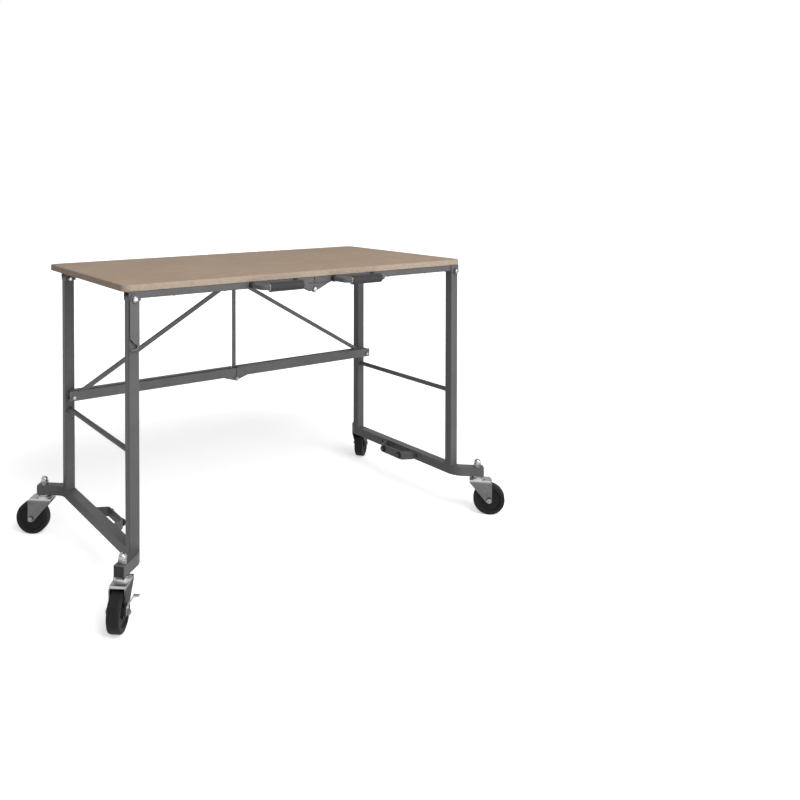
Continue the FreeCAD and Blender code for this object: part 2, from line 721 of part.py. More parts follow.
def stretcher(name):
    """Half of the stretcher: a channel open at the top, with hinge lugs below its inner end."""
    sign = SIDES[name]
    low_x = "-pivot_reach - channel_past" if sign < 0 else "seam_low"
    bottom = "low_pivot_z - channel_below"
    tall = "channel_below + channel_above"
    run = "pivot_reach + channel_past - seam_low"
    outer = box(low_x, "channel_front", bottom, run, "channel_depth", tall)
    hollow = box(f"{low_x} - 1", "channel_front + channel_wall", f"{bottom} + channel_wall", f"{run} + 2",
                 "channel_depth - 2 * channel_wall", tall)
    bore = rod(f"{sign} * pivot_reach", "channel_front - 1", "low_pivot_z", "bolt_bore", "channel_depth + 2", "y")
    notch = box("-post_notch", "post_y - post_thick / 2 - post_gap / 2", f"{bottom} - 1", "2 * post_notch",
                "post_thick + post_gap", "channel_wall + 2")
    trough = cut(outer, hollow, bore, notch)
    inset = "plate / 2" if sign < 0 else "plate * 1.5 + side_gap"
    lugs = [hinge_lug(sign, f"channel_front + {inset}", bottom, "low_hinge_z", "low_lug_arm", "seam_low",
                      "low_lug_round"),
            hinge_lug(sign, f"channel_back - ({inset})", bottom, "low_hinge_z", "low_lug_arm", "seam_low",
                      "low_lug_round")]
    return node(f"stretcher_{name}", fuse(trough, *lugs))


def spacer(z, start, length):
    """A sleeve on a hinge bolt."""
    return cut(rod("0", start, z, "sleeve_radius", length, "y"),
               rod("0", f"{start} - 1", z, "bolt_radius", f"{length} + 2", "y"))


def hinge_bolts():
    """The bolts of the top's two hinges and of the stretcher's; the rear ones also carry the king post."""
    rail_span = "tube + 2 * face_gap"
    front = bolt("0", "hinge_z", "front_leg_y - tube / 2 - face_gap", rail_span)
    post_front = "post_y - post_thick / 2 - face_gap"
    rear_length = f"back_leg_y + tube / 2 + face_gap - ({post_front})"
    rear = bolt("0", "hinge_z", post_front, rear_length)
    sleeve_start = "post_y + post_thick / 2 + face_gap"
    sleeve = spacer("hinge_z", sleeve_start, f"back_leg_y - tube / 2 - face_gap - ({sleeve_start})")
    node("hinge_bolts", group(front, fuse(rear, sleeve)))

    low = bolt("0", "low_hinge_z", "channel_front - face_gap", "channel_depth + 2 * face_gap")
    lug_in = "2 * plate + side_gap + face_gap"
    sleeves = [spacer("low_hinge_z", f"channel_front + {lug_in}", f"post_front_gap - ({lug_in})"),
               spacer("low_hinge_z", sleeve_start, f"channel_back - ({lug_in}) - ({sleeve_start})")]
    node("stretcher_hinge_bolt", fuse(low, *sleeves))


def king_post():
    """A flat link from the top's rear hinge to the stretcher's hinge, with the brace pin near its top."""
    thick, y = "post_thick", "post_y - post_thick / 2"
    pin_z = "hinge_z - brace_drop"
    bar = box("-post_width / 2", y, "low_hinge_z", "post_width", thick, "post_length")
    eyes = [rod("0", y, z, "post_eye", thick, "y") for z in ("hinge_z", pin_z, "low_hinge_z")]
    bores = [rod("0", f"{y} - 1", z, "bolt_bore", f"{thick} + 2", "y") for z in ("hinge_z", pin_z, "low_hinge_z")]
    node("king_post", cut(fuse(bar, *eyes), *bores))
    start = "upper_left_y - brace_thick / 2 - face_gap"
    node("brace_pin", bolt("0", pin_z, start, f"upper_right_y + brace_thick / 2 + face_gap - ({start})"))


def brace_bar(name, x, z, y, angle):
    """A flat bar with one round eye at its pivot, lying at an angle above the level."""
    bar = box("0", "-brace_thick / 2", "-brace_width / 2", "brace_length", "brace_thick", "brace_width")
    tip = rod("brace_length", "-brace_thick / 2", "0", "brace_width / 2", "brace_thick", "y")
    eye = rod("0", "-brace_thick / 2", "0", "brace_eye", "brace_thick", "y")
    bore = rod("0", "-brace_thick", "0", "bolt_bore", "2 * brace_thick", "y")
    item = cut(fuse(bar, tip, eye), bore)
    turned(item, (0, -1, 0), angle)
    return node(name, bind(item, at=(x, y, z)))


def braces():
    """Each brace is two bars that slide past each other: one on the leg's bolt, one on the king post's pin."""
    rise = "atan2(brace_rise; pivot_reach)"
    pin_z = "hinge_z - brace_drop"
    brace_bar("brace_lower_left", "-pivot_reach", "low_pivot_z", "lower_left_y", rise)
    brace_bar("brace_upper_left", "0", pin_z, "upper_left_y", f"180deg + {rise}")
    brace_bar("brace_lower_right", "pivot_reach", "low_pivot_z", "lower_right_y", f"180deg - {rise}")
    brace_bar("brace_upper_right", "0", pin_z, "upper_right_y", f"360deg - {rise}")


# Casters

def caster(end, side):
    """A pressed fork that swivels on its stem, an axle and a wheel; the front ones have a brake lever."""
    x, y = stem_place(SIDES[side], ENDS[end])
    turn = f"turn_{end}_{side}"

    def place(item):
        turned(item, (0, 0, 1), turn)
        return bind(item, at=(x, y, "0"))

    node(f"fork_{end}_{side}", place(fork()))
    node(f"axle_{end}_{side}", place(group(axle(end))))
    node(f"wheel_{end}_{side}", place(wheel()))
    if end == "front":
        node(f"brake_lever_{side}", place(brake_lever()))


def fork():
    """A sheet fork: two tapered legs joined by a crown, with the lower bearing cup on top."""
    top = "crown_top"
    sides = plate([("-crown_front", top), (f"-crown_front", f"{top} - fork_crown - 4"),
                   ("trail - fork_toe", "wheel_radius - fork_toe * 0.6"),
                   ("trail - fork_toe * 0.4", "wheel_radius - fork_toe"),
                   ("trail + fork_toe * 0.6", "wheel_radius - fork_toe"),
                   ("trail + fork_toe", "wheel_radius - fork_toe * 0.4"),
                   ("trail + fork_heel", f"{top} - 8"), ("trail + fork_heel - 6", top)], "2 * fork_outer")
    room = box("-crown_front - 1", "-fork_inner", "0", "crown_front + trail + fork_heel + 2", "2 * fork_inner",
               f"{top} - fork_crown")
    cup = turning([("0", top), ("race_radius", top), ("race_radius", f"{top} + race_height * 0.45"),
                   ("race_radius * 0.8", f"{top} + race_height * 0.9"), ("0", f"{top} + race_height * 0.9")])
    bore = rod("0", "0", f"{top} - fork_crown - 1", "stem_radius + run_gap", "fork_crown + race_height + 2")
    axle_bore = rod("trail", "-fork_outer - 1", "wheel_radius", "axle_radius", "2 * fork_outer + 2", "y")
    return cut(fuse(cut(sides, room), cup), bore, axle_bore)


def axle(end):
    """The wheel's axle bolt; on the front casters it is longer, to carry the brake lever."""
    longer = "lever_plate + 2 * face_gap" if end == "front" else "0"
    start = f"-fork_outer - ({longer})"
    length = f"2 * fork_outer + 2 * ({longer})"
    return fuse(rod("trail", start, "wheel_radius", "axle_radius", length, "y"),
                rod("trail", f"{start} - axle_head", "wheel_radius", "axle_head_radius", "axle_head", "y"),
                rod("trail", f"{start} + {length}", "wheel_radius", "axle_head_radius", "axle_head", "y"))


def wheel():
    """A solid rubber wheel with rounded shoulders, a dished side and a raised hub."""
    half, hub = "tread_width / 2", "hub_width / 2"
    bore = "axle_radius + run_gap"
    shoulder = "wheel_radius - tread_round"
    side = [("hub_radius", hub), ("hub_radius", f"{half} - rim_recess"),
            ("rim_radius - 3", f"{half} - rim_recess"), ("rim_radius", half), (shoulder, half),
            ("wheel_radius - tread_round * 0.3", f"{half} - tread_round * 0.3"),
            ("wheel_radius", f"{half} - tread_round")]
    under = [(radius, f"-({height})") for radius, height in reversed(side)]
    corners = [(bore, f"-{hub}"), (bore, hub)] + side + under
    item = turning(corners)
    item.Placement = FreeCAD.Placement(Vector(), Rotation(Vector(1, 0, 0), 90))
    bind(item, at=("trail", "0", "wheel_radius"))
    return group(item)


def brake_lever():
    """A pressed lever on the axle bolt, beside the fork, that flares outwards and ends in a tread."""
    face = "fork_outer + face_gap"
    low, high = "lever_reach * 0.3", "lever_reach * 0.9"
    tip = "lever_flare + lever_tab"
    blade = plate([("0", "0"), ("lever_plate", "0"), ("lever_plate", low), ("lever_flare + lever_plate", high),
                   (tip, "lever_reach - lever_plate"), (tip, "lever_reach"), ("lever_flare", "lever_reach"),
                   ("0", f"{low} + lever_plate")], "lever_width", ("trail", face, "wheel_radius"), "YZ_Plane")
    eye = rod("trail", face, "wheel_radius", "axle_head_radius", "lever_plate", "y")
    bore = rod("trail", f"{face} - lever_plate", "wheel_radius", "axle_radius + run_gap", "3 * lever_plate", "y")
    return cut(fuse(blade, eye), bore)


def build():
    for name in SIDES:
        top_half(name, SIDES[name])
        leg_frame(name)
        stretcher(name)
    hinge_bolts()
    king_post()
    braces()
    latch()
    for end in ENDS:
        for side in SIDES:
            caster(end, side)
    doc.recompute()


def check_and_write():
    for item in doc.Objects:
        if "Invalid" in item.State or "Error" in item.State:
            raise RuntimeError(f"{item.Name} ({item.Label}) did not build")
    for item in nodes:
        if item.Shape.isNull() or not item.Shape.isValid() or item.Shape.Volume <= 0:
            raise RuntimeError(f"{item.Label} has no sound shape")
    os.makedirs("parts", exist_ok=True)
    for item in nodes:
        item.Shape.exportStep(f"parts/{item.Label}.step")
    print(len(nodes), "sub-parts")


build()
check_and_write()
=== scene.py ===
"""Looks of a folding workbench on casters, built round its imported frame.

Metres throughout: +X runs along the bench, -Y is its front and +Z is up.
"""
import json
import math

import bmesh
import bpy
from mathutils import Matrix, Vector

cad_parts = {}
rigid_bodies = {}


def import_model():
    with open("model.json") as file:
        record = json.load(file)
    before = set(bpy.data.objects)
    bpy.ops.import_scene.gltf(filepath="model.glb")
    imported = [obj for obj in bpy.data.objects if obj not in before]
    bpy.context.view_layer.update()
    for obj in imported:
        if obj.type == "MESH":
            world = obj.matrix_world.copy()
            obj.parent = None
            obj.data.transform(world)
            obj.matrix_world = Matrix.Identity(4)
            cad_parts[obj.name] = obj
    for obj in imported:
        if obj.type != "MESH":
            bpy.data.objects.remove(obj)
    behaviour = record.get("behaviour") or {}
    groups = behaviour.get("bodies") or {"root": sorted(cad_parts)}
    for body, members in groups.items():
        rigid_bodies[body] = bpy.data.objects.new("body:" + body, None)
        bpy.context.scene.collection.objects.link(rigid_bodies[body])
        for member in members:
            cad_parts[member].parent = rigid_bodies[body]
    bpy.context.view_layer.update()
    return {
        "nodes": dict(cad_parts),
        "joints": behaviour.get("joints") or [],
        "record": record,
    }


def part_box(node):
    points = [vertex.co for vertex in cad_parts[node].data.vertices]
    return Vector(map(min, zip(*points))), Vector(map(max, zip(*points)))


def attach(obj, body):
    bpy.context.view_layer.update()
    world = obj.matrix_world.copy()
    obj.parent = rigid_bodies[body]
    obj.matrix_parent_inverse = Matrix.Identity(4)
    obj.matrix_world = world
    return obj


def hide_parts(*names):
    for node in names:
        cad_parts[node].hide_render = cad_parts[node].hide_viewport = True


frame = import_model()
nodes = frame["nodes"]
joints = {joint["name"]: joint for joint in frame["joints"]}
SIDES = {"left": -1, "right": 1}
ENDS = ("front", "back")
FRONT = (0, -1, 0)
BACK = (0, 1, 0)
UP = (0, 0, 1)
DOWN = (0, 0, -1)


# Shader helpers

def new_material(name):
    """A node material, its node tree, and its principled shader."""
    material = bpy.data.materials.new(name)
    material.use_nodes = True
    return material, material.node_tree, material.node_tree.nodes["Principled BSDF"]


def grey(level):
    """A neutral colour."""
    return (level, level, level)


def add(tree, kind, **values):
    """A node, with its settings and the values of its inputs."""
    made = tree.nodes.new(kind)
    for key, value in values.items():
        if hasattr(made, key):
            setattr(made, key, value)
        else:
            made.inputs[key.replace("_", " ")].default_value = value
    return made


def coordinates(tree, scale=(1, 1, 1)):
    """The object's own coordinates, stretched by scale."""
    source = add(tree, "ShaderNodeTexCoord")
    mapping = add(tree, "ShaderNodeMapping", Scale=scale)
    tree.links.new(source.outputs["Object"], mapping.inputs["Vector"])
    return mapping.outputs["Vector"]


def component(tree, vector, axis):
    """One component of a vector."""
    split = add(tree, "ShaderNodeSeparateXYZ")
    tree.links.new(vector, split.inputs[0])
    return split.outputs[axis]


def noise(tree, vector, scale, detail, roughness=0.5):
    """Noise at so many features a metre."""
    made = add(tree, "ShaderNodeTexNoise", Scale=scale, Detail=detail, Roughness=roughness)
    tree.links.new(vector, made.inputs["Vector"])
    return made.outputs["Fac"]


def ramp(tree, factor, *stops):
    """A colour ramp of (place, colour) stops."""
    made = add(tree, "ShaderNodeValToRGB")
    elements = made.color_ramp.elements
    for element, (place, colour) in zip(elements, stops):
        element.position = place
        element.color = (*colour, 1)
    tree.links.new(factor, made.inputs["Fac"])
    return made.outputs["Color"]


# A mix node's colour sockets, which share their names with those for numbers and vectors
MIX_FIRST, MIX_SECOND, MIX_RESULT = 6, 7, 2


def mix(tree, factor, first, second, blend="MIX"):
    """Two colours mixed; the factor may be a number or a socket."""
    made = add(tree, "ShaderNodeMix", data_type="RGBA", blend_type=blend)
    if isinstance(factor, bpy.types.NodeSocket):
        tree.links.new(factor, made.inputs["Factor"])
    else:
        made.inputs["Factor"].default_value = factor
    tree.links.new(first, made.inputs[MIX_FIRST])
    tree.links.new(second, made.inputs[MIX_SECOND])
    return made.outputs[MIX_RESULT]


def spread(tree, factor, low, high, start=0.0, stop=1.0):
    """A value between start and stop, mapped onto the range from low to high."""
    made = add(tree, "ShaderNodeMapRange", From_Min=start, From_Max=stop, To_Min=low, To_Max=high)
    tree.links.new(factor, made.inputs["Value"])
    return made.outputs["Result"]


def combine(tree, operation, first, second):
    """Two values through a math operation."""
    made = add(tree, "ShaderNodeMath", operation=operation)
    tree.links.new(first, made.inputs[0])
    tree.links.new(second, made.inputs[1])
    return made.outputs[0]


def bump(tree, shader, height, distance, strength):
    """Relief on a shader from a height."""
    made = add(tree, "ShaderNodeBump", Strength=strength, Distance=distance)
    tree.links.new(height, made.inputs["Height"])
    tree.links.new(made.outputs["Normal"], shader.inputs["Normal"])


# Materials

def powder_coat(name, shade):
    """Grey powder coat with a fine orange peel and slightly polished patches."""
    material, tree, shader = new_material(name)
    vector = coordinates(tree)
    patches = noise(tree, vector, 14.0, 4.0)
    peel = noise(tree, vector, 900.0, 2.0)
    colour = ramp(tree, patches, (0.3, grey(shade * 0.9)), (0.75, grey(shade * 1.08)))
    flecks = ramp(tree, noise(tree, vector, 1600.0, 1.0), (0.42, grey(0.92)), (0.62, grey(1.0)))
    tree.links.new(mix(tree, 1.0, colour, flecks, "MULTIPLY"), shader.inputs["Base Color"])
    tree.links.new(spread(tree, patches, 0.42, 0.55), shader.inputs["Roughness"])
    shader.inputs["Specular IOR Level"].default_value = 0.15
    bump(tree, shader, peel, 0.00018, 0.5)
    return material


def board(edge):
    """Fibreboard: a smooth pressed face, or a sawn edge with coarser, paler fibres."""
    material, tree, shader = new_material("board_edge" if edge else "board_face")
    vector = coordinates(tree)
    fibres = noise(tree, coordinates(tree, (1, 2.2, 1)), 420.0, 5.0, 0.65)
    specks = noise(tree, vector, 1300.0, 2.0)
    if edge:
        layers = noise(tree, coordinates(tree, (1, 1, 9)), 90.0, 4.0, 0.6)
        base = ramp(tree, layers, (0.3, (0.310, 0.246, 0.192)), (0.7, (0.410, 0.334, 0.268)))
        grain = ramp(tree, fibres, (0.32, grey(0.74)), (0.6, grey(1.06)))
        roughness = (0.75, 0.9)
        depth = 0.0005
    else:
        clouds = noise(tree, vector, 5.0, 5.0, 0.6)
        streaks = noise(tree, coordinates(tree, (1, 4, 1)), 26.0, 5.0, 0.65)
        tint = ramp(tree, clouds, (0.3, (0.318, 0.231, 0.164)), (0.72, (0.360, 0.264, 0.189)))
        tone = ramp(tree, streaks, (0.3, grey(0.88)), (0.7, grey(1.08)))
        base = mix(tree, 1.0, tint, tone, "MULTIPLY")
        grain = ramp(tree, fibres, (0.34, grey(0.84)), (0.62, grey(1.07)))
        roughness = (0.5, 0.66)
        depth = 0.00018
    dots = ramp(tree, specks, (0.30, grey(0.72)), (0.40, grey(1.0)))
    toned = mix(tree, 1.0, base, grain, "MULTIPLY")
    dotted = mix(tree, 1.0, toned, dots, "MULTIPLY")
    tree.links.new(mix(tree, 0.7, toned, dotted), shader.inputs["Base Color"])
    tree.links.new(spread(tree, fibres, *roughness), shader.inputs["Roughness"])
    shader.inputs["Specular IOR Level"].default_value = 0.05
    bump(tree, shader, fibres, depth, 0.6)
    return material


def zinc(name, bright, roughness, edge=1.0, painted_shade_level=None, bend=0.0):
    """Zinc plate on pressed steel. With a second, darker level, it is that grey below the bend's
    height: painted shade on the sides under the lit top.
    """
    material, tree, shader = new_material(name)
    vector = coordinates(tree)
    patches = noise(tree, vector, 60.0, 4.0)
    brushed = noise(tree, coordinates(tree, (1, 1, 6)), 700.0, 2.0)
    colour = ramp(tree, patches, (0.3, grey(bright * 0.86)), (0.7, grey(bright)))
    if painted_shade_level is not None:
        blur = 0.003
        # Below the bend a darker grey is painted shade, standing in for the shade on the sides under
        # the lit top
        painted_shade_colour = ramp(tree, patches, (0.3, grey(painted_shade_level * 0.84)), (0.7, grey(painted_shade_level)))
        height = component(tree, vector, "Z")
        above = spread(tree, height, 0.0, 1.0, start=bend - blur, stop=bend + blur)
        colour = mix(tree, above, painted_shade_colour, colour)
    tree.links.new(colour, shader.inputs["Base Color"])
    polish = spread(tree, patches, roughness - 0.06, roughness + 0.08)
    tree.links.new(polish, shader.inputs["Roughness"])
    shader.inputs["Metallic"].default_value = 1.0
    shader.inputs["Specular Tint"].default_value = (*grey(edge), 1)
    bump(tree, shader, brushed, 0.00012, 0.35)
    return material


def black_rubber(name, level, roughness, gloss):
    """Moulded black rubber or plastic, faintly dusty."""
    material, tree, shader = new_material(name)
    vector = coordinates(tree)
    dust = noise(tree, vector, 35.0, 5.0, 0.6)
    grain = noise(tree, vector, 1100.0, 2.0)
    colour = ramp(tree, dust, (0.35, grey(level)), (0.8, grey(level * 1.7)))
    tree.links.new(colour, shader.inputs["Base Color"])
    wear = spread(tree, dust, roughness - 0.06, roughness + 0.1)
    tree.links.new(wear, shader.inputs["Roughness"])
    shader.inputs["Specular IOR Level"].default_value = gloss
    bump(tree, shader, grain, 0.00015, 0.5)
    return material


POWDER = powder_coat("powder_coat", 0.096)
LATCH = powder_coat("latch_coat", 0.112)
# A lighter copy of the powder coat for the stretcher, braces and post: painted light, making up for
# the shade the top casts on them
LINKAGE_PAINTED_LIGHT = powder_coat("linkage_coat_painted_light", 0.132)
FACE = board(edge=False)
EDGE = board(edge=True)
ZINC = zinc("zinc_plate", 0.4, 0.15)
# The fork's legs below the bend are painted shade, a darker grey than the lit crown above them
FORK_PAINTED_SHADE = zinc("fork_plate", 0.5, 0.34, edge=0.4, painted_shade_level=0.14, bend=0.112)
AXLE = zinc("axle_plate", 0.22, 0.26)
BOLT = zinc("bolt_plate", 0.26, 0.34)
LEVER = zinc("lever_plate", 0.55, 0.46)
TYRE = black_rubber("tyre_rubber", 0.008, 0.62, 0.16)
GRIP = black_rubber("grip_rubber", 0.0155, 0.5, 0.28)
PLASTIC = black_rubber("black_plastic", 0.014, 0.45, 0.25)
RECESS = black_rubber("recess", 0.02, 0.5, 0.3)


def dress(item, *materials):
    """Give an object its materials in place of any it has; faces of a new mesh keep their slots."""
    if item.data.materials:
        item.data.materials.clear()
    for material in materials:
        item.data.materials.append(material)


# Finishes of the solids: by their slot, and by name where one differs from its slot
SLOTS = {"powder_coat": POWDER, "board": FACE, "zinc": ZINC, "black_rubber": TYRE, "plug": PLASTIC}
# The king post takes the linkage's lighter coat, which is painted light
FINISHES = {"latch_plate": LATCH, "king_post": LINKAGE_PAINTED_LIGHT, "hinge_bolts": BOLT,
            "stretcher_hinge_bolt": BOLT}
for side in SIDES:
    FINISHES[f"pivot_bolts_{side}"] = BOLT
    FINISHES[f"brake_lever_{side}"] = LEVER
    # The stretcher and braces take the linkage's lighter coat, which is painted light
    for name in ("stretcher", "brace_lower", "brace_upper"):
        FINISHES[f"{name}_{side}"] = LINKAGE_PAINTED_LIGHT
    for end in ENDS:
        FINISHES[f"fork_{end}_{side}"] = FORK_PAINTED_SHADE
        FINISHES[f"axle_{end}_{side}"] = AXLE
for entry in frame["record"]["subparts"]:
    name = entry["node"]
    dress(nodes[name], FINISHES.get(name, SLOTS[entry["material_slot"]]))


# Mesh helpers

def piece(name, shape, body, slot, *materials, sharp=35.0):
    """An object from a bmesh, on a body, with its finish; edges over sharp degrees stay hard."""
    bmesh.ops.recalc_face_normals(shape, faces=shape.faces)
    mesh = bpy.data.meshes.new(name)
    shape.to_mesh(mesh)
    shape.free()
    mesh.polygons.foreach_set("use_smooth", [True] * len(mesh.polygons))
    mesh.set_sharp_from_angle(angle=math.radians(sharp))
    item = bpy.data.objects.new(name, mesh)
    bpy.context.scene.collection.objects.link(item)
    dress(item, *materials)
    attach(item, body)
    return item


def ring(shape, points):
    """A closed loop of vertices."""
    return [shape.verts.new(point) for point in points]


def skin(shape, low, high, material=0):
    """Quads between two loops of the same count."""
    count = len(low)
    for i in range(count):
        after = (i + 1) % count
        face = shape.faces.new((low[i], low[after], high[after], high[i]))
        face.material_index = material


def cap(shape, loop, material=0):
    """One face over a loop."""
    face = shape.faces.new(loop)
    face.material_index = material


def circle(place, axis, radius, count):
    """Points of a circle about an axis."""
    turn = Vector(axis).to_track_quat("Z", "X").to_matrix()
    points = []
    for k in range(count):
        angle = 2 * math.pi * k / count
        points.append(Vector(place) + radius * (turn @ Vector((math.cos(angle), math.sin(angle), 0))))
    return points


def turned(shape, place, axis, profile, count=28, material=0):
    """A turned form: (distance along its axis, radius) from end to end, both ends capped."""
    axis = Vector(axis).normalized()
    loops = [ring(shape, circle(Vector(place) + axis * along, axis, radius, count))
             for along, radius in profile]
    for low, high in zip(loops, loops[1:]):
        skin(shape, low, high, material)
    cap(shape, loops[0], material)
    cap(shape, loops[-1], material)


def block(shape, place, axes, sizes, material):
    """A box about its centre, along three given axes."""
    reach = [axis * size / 2 for axis, size in zip(axes, sizes)]
    corners = {}
    for i in (-1, 1):
        for j in (-1, 1):
            for k in (-1, 1):
                point = place + reach[0] * i + reach[1] * j + reach[2] * k
                corners[i, j, k] = shape.verts.new(point)
    for fixed in range(3):
        for sign in (-1, 1):
            loop = []
            for pair in ((-1, -1), (1, -1), (1, 1), (-1, 1)):
                key = list(pair)
                key.insert(fixed, sign)
                loop.append(corners[tuple(key)])
            cap(shape, loop, material)


# A pan head's section as shares of its height and radius, and its cross recess in the same way
HEAD_SECTION = ((0.0, 1.0), (0.45, 1.0), (0.8, 0.86), (0.97, 0.55), (1.0, 0.2))
RECESS_LEVEL, RECESS_DEPTH = 0.95, 0.16
RECESS_LENGTH, RECESS_WIDTH = 1.05, 0.3


def screw_head(shape, place, axis, radius, height):
    """A pan head standing on a face, with its cross recess in the second material."""
    axis = Vector(axis)
    place = Vector(place)
    section = [(along * height, share * radius) for along, share in HEAD_SECTION]
    turned(shape, place, axis, section, count=24)
    side = axis.orthogonal().normalized()
    other = axis.cross(side)
    sizes = (radius * RECESS_LENGTH, radius * RECESS_WIDTH, height * RECESS_DEPTH)
    for along, across in ((side, other), (other, side)):
        block(shape, place + axis * height * RECESS_LEVEL, (along, across, axis), sizes, 1)


# A weld bead's ripples: their pitch, how many samples each has, and their share of the radius
BEAD_PITCH = 0.0035
BEAD_SAMPLES = 3
BEAD_RIPPLE = 0.13

# The sides of a bead's section, and a direction that no bead takes
BEAD_SIDES = 6
BEAD_LEAN = Vector((0.31, 0.17, 0.94))


def bead(shape, points, radius, closed=False):
    """A rippled weld bead along a path."""
    path = [Vector(point) for point in points]
    if closed:
        path.append(path[0])
    samples = []
    for start, stop in zip(path, path[1:]):
        count = max(1, round((stop - start).length / (BEAD_PITCH / BEAD_SAMPLES)))
        samples += [start.lerp(stop, k / count) for k in range(count)]
    if not closed:
        samples.append(path[-1])
    total = len(samples)
    loops = []
    for i, here in enumerate(samples):
        ahead = samples[(i + 1) % total] if closed or i + 1 < total else here
        behind = samples[i - 1] if closed or i > 0 else here
        forward = (ahead - behind).normalized()
        side = forward.cross(BEAD_LEAN).normalized()
        up = forward.cross(side)
        girth = radius * (1 + BEAD_RIPPLE * math.sin(2 * math.pi * i / BEAD_SAMPLES))
        angles = [2 * math.pi * k / BEAD_SIDES for k in range(BEAD_SIDES)]
        loops.append(ring(shape, [here + girth * (side * math.cos(angle) + up * math.sin(angle))
                                  for angle in angles]))
    for i in range(total if closed else total - 1):
        skin(shape, loops[i], loops[(i + 1) % total])
    if not closed:
        cap(shape, loops[0])
        cap(shape, loops[-1])


# Places of the frame, read on the right side; the left side mirrors it

def middle(name):
    """The centre of a node's box."""
    low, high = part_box(name)
    return (low + high) / 2


PIVOT_X, FRONT_Y, PIVOT_Z = joints["right_pivot"]["pos_m"]
_, BACK_Y, LOW_PIVOT_Z = joints["stretcher_pivot_right"]["pos_m"]
HINGE_Z = joints["centre_hinge"]["pos_m"][2]
LOW_HINGE_Z = LOW_PIVOT_Z + HINGE_Z - PIVOT_Z
LEG_LOW, LEG_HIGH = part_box("leg_front_right")
HALF_TUBE = (LEG_HIGH.x - LEG_LOW.x) / 2
INNER_X = PIVOT_X - HALF_TUBE
RAIL_FACE = FRONT_Y - HALF_TUBE
BEAM_LOW, BEAM_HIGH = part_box("foot_beam_right")
CROSS_LOW, CROSS_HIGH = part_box("cross_rails_right")
STRAP_LOW, STRAP_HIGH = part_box("bumper_bracket_right")
STRAP_MIDDLE = middle("bumper_bracket_right")
BUMPER_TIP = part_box("bumpers_right")[0].x
RUNG_Z = middle("rung_right").z
HANDLE_LOW, HANDLE_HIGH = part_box("handle_right")
HANDLE_Z = middle("handle_right").z
GRIP_LOW, GRIP_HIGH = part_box("grip_right")
GRIP_MIDDLE = middle("grip_right")


# Board top

BOARD_CORNER = 0.025
BOARD_EASE = 0.0013
CORNER_ANGLES = [math.pi / 2 * k / 10 for k in range(11)]
EASE_ANGLES = [math.pi / 2 * k / 4 for k in range(5)]


def board_outline(side, inset):
    """Outline of half of the top, so far inside its free edges; the seam's edge keeps its place."""
    low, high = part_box(f"top_panel_{side}")
    sign = SIDES[side]
    outer, seam = (low.x, high.x) if sign < 0 else (high.x, low.x)
    radius = BOARD_CORNER - inset
    points = [(seam, low.y + inset)]
    for edge, toward, angles in ((low.y, 1, CORNER_ANGLES), (high.y, -1, CORNER_ANGLES[::-1])):
        for angle in angles:
            x = outer - sign * (BOARD_CORNER - radius * math.sin(angle))
            y = edge + toward * (BOARD_CORNER - radius * math.cos(angle))
            points.append((x, y))
    points.append((seam, high.y - inset))
    return points


def board_top(side):
    """Half of the top, with eased edges and a paler sawn edge."""
    low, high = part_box(f"top_panel_{side}")
    levels = []
    for angle in EASE_ANGLES:
        inset = BOARD_EASE * (1 - math.sin(angle))
        levels.append((inset, low.z + BOARD_EASE * (1 - math.cos(angle))))
    levels += [(inset, low.z + high.z - z) for inset, z in levels[::-1]]
    shape = bmesh.new()
    loops = [ring(shape, [(x, y, z) for x, y in board_outline(side, inset)]) for inset, z in levels]
    # The first and last bands belong to the faces, all between them to the sawn edge
    last = len(loops) - 2
    for i, (below, above) in enumerate(zip(loops, loops[1:])):
        skin(shape, below, above, 1 if 0 < i < last else 0)
    cap(shape, loops[0])
    cap(shape, loops[-1])
    item = piece(f"board_{side}", shape, f"top_half_{side}", "board", FACE, EDGE, sharp=25.0)
    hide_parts(f"top_panel_{side}")


# Fasteners

# Heads: radius and height
LATCH_HEAD = (0.0078, 0.0022)
PIVOT_HEAD = (0.0063, 0.0020)
HINGE_HEAD = (0.0048, 0.0020)
RAIL_HEAD = (0.0048, 0.0026)
BEAM_HEAD = (0.0062, 0.0030)

# Ends of the bolts in front of or behind the middle of a leg
LATCH_END = 0.0268
PIVOT_END = 0.0232
HINGE_END = 0.0197
POST_HINGE_END = 0.0412
STRETCHER_FRONT = 0.0567
STRETCHER_BACK = 0.0108

# Places along the rails, and beside the middle of the bumpers' strap
RAIL_SCREWS = (0.145, 0.300, 0.457)
CROSS_SHARES = (0.25, 0.75)
BUMPER_OFFSET = 0.044
BEAM_SCREW_OFFSET = 0.095

# Turned forms: distance along the axis and radius
BUMPER_BOLT = ((0.0, 0.0058), (0.0002, 0.0058), (0.0004, 0.0040))
BEAM_PLUG = ((0.0, 0.0085), (0.0022, 0.0085), (0.0038, 0.0060))
AXLE_NUT = ((0.0, 0.0062), (0.0018, 0.0062), (0.0024, 0.0055))
AXLE_THREAD = ((0.0020, 0.0033), (0.0036, 0.0033), (0.0041, 0.0027))
AXLE_BUTTON = ((0.0, 0.0064), (0.0008, 0.0064), (0.0014, 0.0054), (0.0008, 0.0038),
               (0.0008, 0.0022), (0.0014, 0.0018), (0.0016, 0.0009))

# The radius of an axle's own heads, and the sides of a nut
AXLE_HEAD = 0.008
HEXAGON = 6


